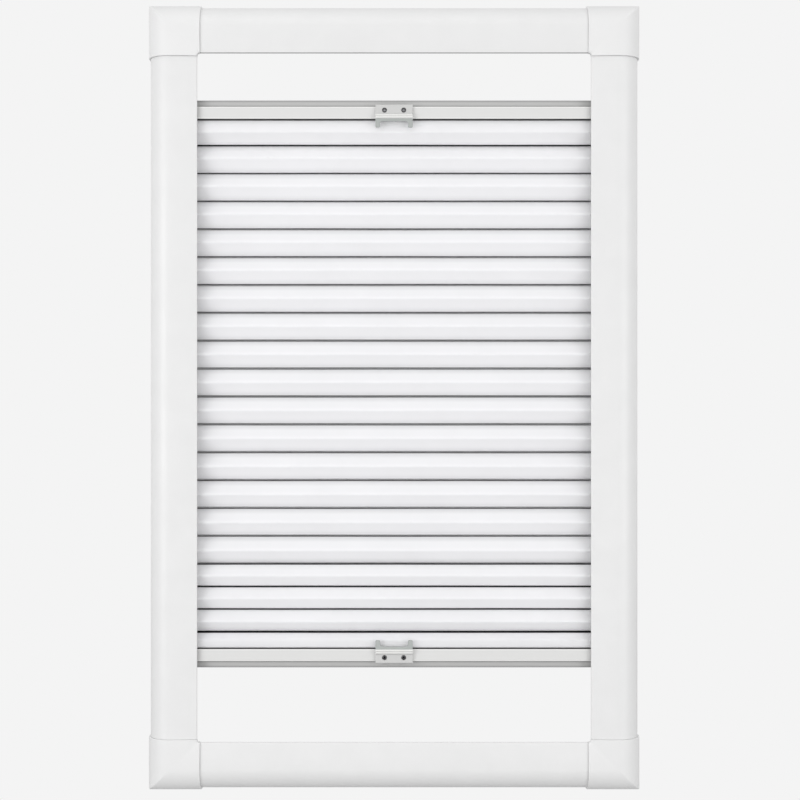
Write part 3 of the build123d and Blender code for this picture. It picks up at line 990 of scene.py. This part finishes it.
# Woven polyester: matt white with a cold tint, that lets a third of the light through where it is one layer
# thick. The insides of the pressed back folds let none through and are drawn dark grey as painted shade for
# their depth, darkest beside the stiles as painted shade from them. The 0.4 mm weave is drawn at 1.2 mm so
# that it shows at this distance
weave_width = 1.2
cloth_cloud_width = 50
stile_shade_start = 140
stile_shade_end = 162
polyester, tree, out = new_finish("white woven polyester")
place = add_node(tree, "ShaderNodeTexCoord").outputs["Object"]
weft = add_node(tree, "ShaderNodeTexNoise", {"Vector": place, "Scale": 1 / (weave_width * mm), "Detail": 2.0})
cloud = add_node(
    tree, "ShaderNodeTexNoise", {"Vector": place, "Scale": 1 / (cloth_cloud_width * mm), "Detail": 2.0}
)
tone = add_node(tree, "ShaderNodeValToRGB", {"Fac": cloud.outputs["Fac"]})
tone.color_ramp.elements[0].color = linear("#fafafb")
tone.color_ramp.elements[1].color = linear("#fdfdfe")
painted_fold_shade = add_node(tree, "ShaderNodeAttribute", attribute_name="painted_fold_shade").outputs["Fac"]
relief = add_node(
    tree, "ShaderNodeBump", {"Height": weft.outputs["Fac"], "Strength": 0.15, "Distance": 0.0001}
)
shader = add_node(
    tree,
    "ShaderNodeBsdfPrincipled",
    {
        "Base Color": tone.outputs["Color"],
        "Roughness": 0.8,
        "Normal": relief.outputs["Normal"],
        "IOR": 1.45,
        "Sheen Weight": 0.1,
    },
)
through = add_node(tree, "ShaderNodeBsdfTranslucent", {"Color": tone.outputs["Color"]})
panel = add_node(
    tree, "ShaderNodeMixShader", {0: 0.5, 1: shader.outputs["BSDF"], 2: through.outputs["BSDF"]}
)
across = add_node(tree, "ShaderNodeSeparateXYZ", {"Vector": place}).outputs["X"]
away = add_node(tree, "ShaderNodeMath", {0: across}, operation="ABSOLUTE").outputs["Value"]
stile = add_node(
    tree, "ShaderNodeMapRange", {"Value": away, "From Min": stile_shade_start * mm, "From Max": stile_shade_end * mm}
)
# Painted shade: the folds' insides go from dark grey to near black beside the stiles
fold_shade_tone = add_node(tree, "ShaderNodeValToRGB", {"Fac": stile.outputs["Result"]})
fold_shade_tone.color_ramp.elements[0].color = linear("#38383b")
fold_shade_tone.color_ramp.elements[1].color = linear("#0e0e10")
inside = add_node(tree, "ShaderNodeBsdfDiffuse", {"Color": fold_shade_tone.outputs["Color"], "Roughness": 0.8})
layer = add_node(
    tree, "ShaderNodeMixShader", {0: painted_fold_shade, 1: panel.outputs["Shader"], 2: inside.outputs["BSDF"]}
)
tree.links.new(layer.outputs["Shader"], out.inputs["Surface"])

upper_tab = np.array([(cloth_top + cloth_tab, cloth_slot_place), (cloth_top, cloth_slot_place)])
lower_tab = np.array([(cloth_bottom, cloth_slot_place), (cloth_bottom - cloth_tab, cloth_slot_place)])
middle_crease = crease_line[middle_fold : middle_fold + 1]
upper_line = np.concatenate([upper_tab, pleat_line(0, middle_fold)])
lower_line = np.concatenate([middle_crease, pleat_line(middle_fold, len(pitches))[:-1], lower_tab])
halves = {"top": (upper_line, cloth_top), "bottom": (lower_line, cloth_bottom)}
for level, (line, rail_z) in halves.items():
    sheet = skin(f"{level}_pleats", cloth_shell(line), polyester, cloth_creases)
    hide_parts("pleated_cloth")
    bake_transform(sheet)
    points = np.empty(3 * len(sheet.data.vertices), np.float32)
    sheet.data.vertices.foreach_get("co", points)
    # Painted shade inside the back folds
    painted_fold_shade_values = np.tile(painted_fold_shade_share(line), cloth_columns).astype(np.float32)
    sheet.data.attributes.new("painted_fold_shade", "FLOAT", "POINT").data.foreach_set("value", painted_fold_shade_values)

# Stage: a pale floor under the hanging blind that fades into the background, three softboxes round the camera
# with a low reflector, and even light from all round. The camera looks straight at the blind, and its lens
# takes in the view's width at the view's distance. All places are in metres.
floor_z = -0.63
floor_half = 4
floor_fade_start = 0.7
floor_fade_end = 1.3
ambient_strength = 0.83
camera_place = (0.0049, -1.425, -0.0019)
camera_sensor = 36
view_distance = 1.4
view_width = 0.664
backdrop = linear("#f4f4f4")
paint, tree, out = new_finish("pale studio floor")
place = add_node(tree, "ShaderNodeTexCoord").outputs["Object"]
length = add_node(tree, "ShaderNodeVectorMath", {0: place}, operation="LENGTH").outputs["Value"]
fade = add_node(
    tree, "ShaderNodeMapRange", {"Value": length, "From Min": floor_fade_start, "From Max": floor_fade_end}
)
matt = add_node(tree, "ShaderNodeBsdfDiffuse", {"Color": linear("#c4c4c4")})
glow = add_node(tree, "ShaderNodeEmission", {"Color": backdrop, "Strength": 1.0})
to_camera = add_node(tree, "ShaderNodeLightPath").outputs["Is Camera Ray"]
faded = add_node(tree, "ShaderNodeMath", {0: fade.outputs["Result"], 1: to_camera}, operation="MULTIPLY")
blend = add_node(
    tree,
    "ShaderNodeMixShader",
    {0: faded.outputs["Value"], 1: matt.outputs["BSDF"], 2: glow.outputs["Emission"]},
)
tree.links.new(blend.outputs["Shader"], out.inputs["Surface"])
floor_corners = [(x * floor_half, y * floor_half, floor_z) for x, y in ((-1, -1), (1, -1), (1, 1), (-1, 1))]
floor_mesh = bpy.data.meshes.new("floor")
floor_mesh.from_pydata(floor_corners, [], [(0, 1, 2, 3)])
floor_mesh.materials.append(paint)
floor = bpy.data.objects.new("floor", floor_mesh)
bpy.context.scene.collection.objects.link(floor)

world = bpy.data.worlds.new("soft studio")
bpy.context.scene.world = world
world.use_nodes = True
tree = world.node_tree
tree.nodes.clear()
ray = add_node(tree, "ShaderNodeLightPath").outputs
seen = add_node(
    tree, "ShaderNodeMath", {0: ray["Is Camera Ray"], 1: ray["Is Glossy Ray"]}, operation="MAXIMUM"
)
seen = add_node(
    tree, "ShaderNodeMath", {0: seen.outputs["Value"], 1: ray["Is Transmission Ray"]}, operation="MAXIMUM"
)
shown = add_node(tree, "ShaderNodeBackground", {"Color": backdrop, "Strength": 1.0})
ambient = add_node(tree, "ShaderNodeBackground", {"Color": (1, 1, 1, 1), "Strength": ambient_strength})
mixed = add_node(
    tree,
    "ShaderNodeMixShader",
    {0: seen.outputs["Value"], 1: ambient.outputs["Background"], 2: shown.outputs["Background"]},
)
add_node(tree, "ShaderNodeOutputWorld", {"Surface": mixed.outputs["Shader"]})

for name, spot, size, power in (
    ("left softbox", (-1.5, -1.5, 0.05), 0.9, 12.5),
    ("right softbox", (1.5, -1.5, 0.0), 0.9, 9.0),
    ("top softbox", (-0.2, -1.4, 1.6), 1.2, 3.5),
    ("low reflector", (0.1, -1.6, -0.55), 0.9, 2.6),
):
    lamp = bpy.data.lights.new(name, "AREA")
    lamp.size = size
    lamp.energy = power
    lamp_object = bpy.data.objects.new(name, lamp)
    lamp_object.location = spot
    lamp_object.rotation_mode = "QUATERNION"
    lamp_object.rotation_quaternion = lamp_object.location.to_track_quat("Z", "Y")
    bpy.context.scene.collection.objects.link(lamp_object)

camera = bpy.data.objects.new("camera", bpy.data.cameras.new("camera"))
camera.location = camera_place
camera.rotation_euler = (np.pi / 2, 0, 0)
camera.data.sensor_width = camera_sensor
camera.data.lens = camera_sensor * view_distance / view_width
bpy.context.scene.collection.objects.link(camera)
bpy.context.scene.camera = camera
bpy.context.scene.view_settings.view_transform = "Standard"
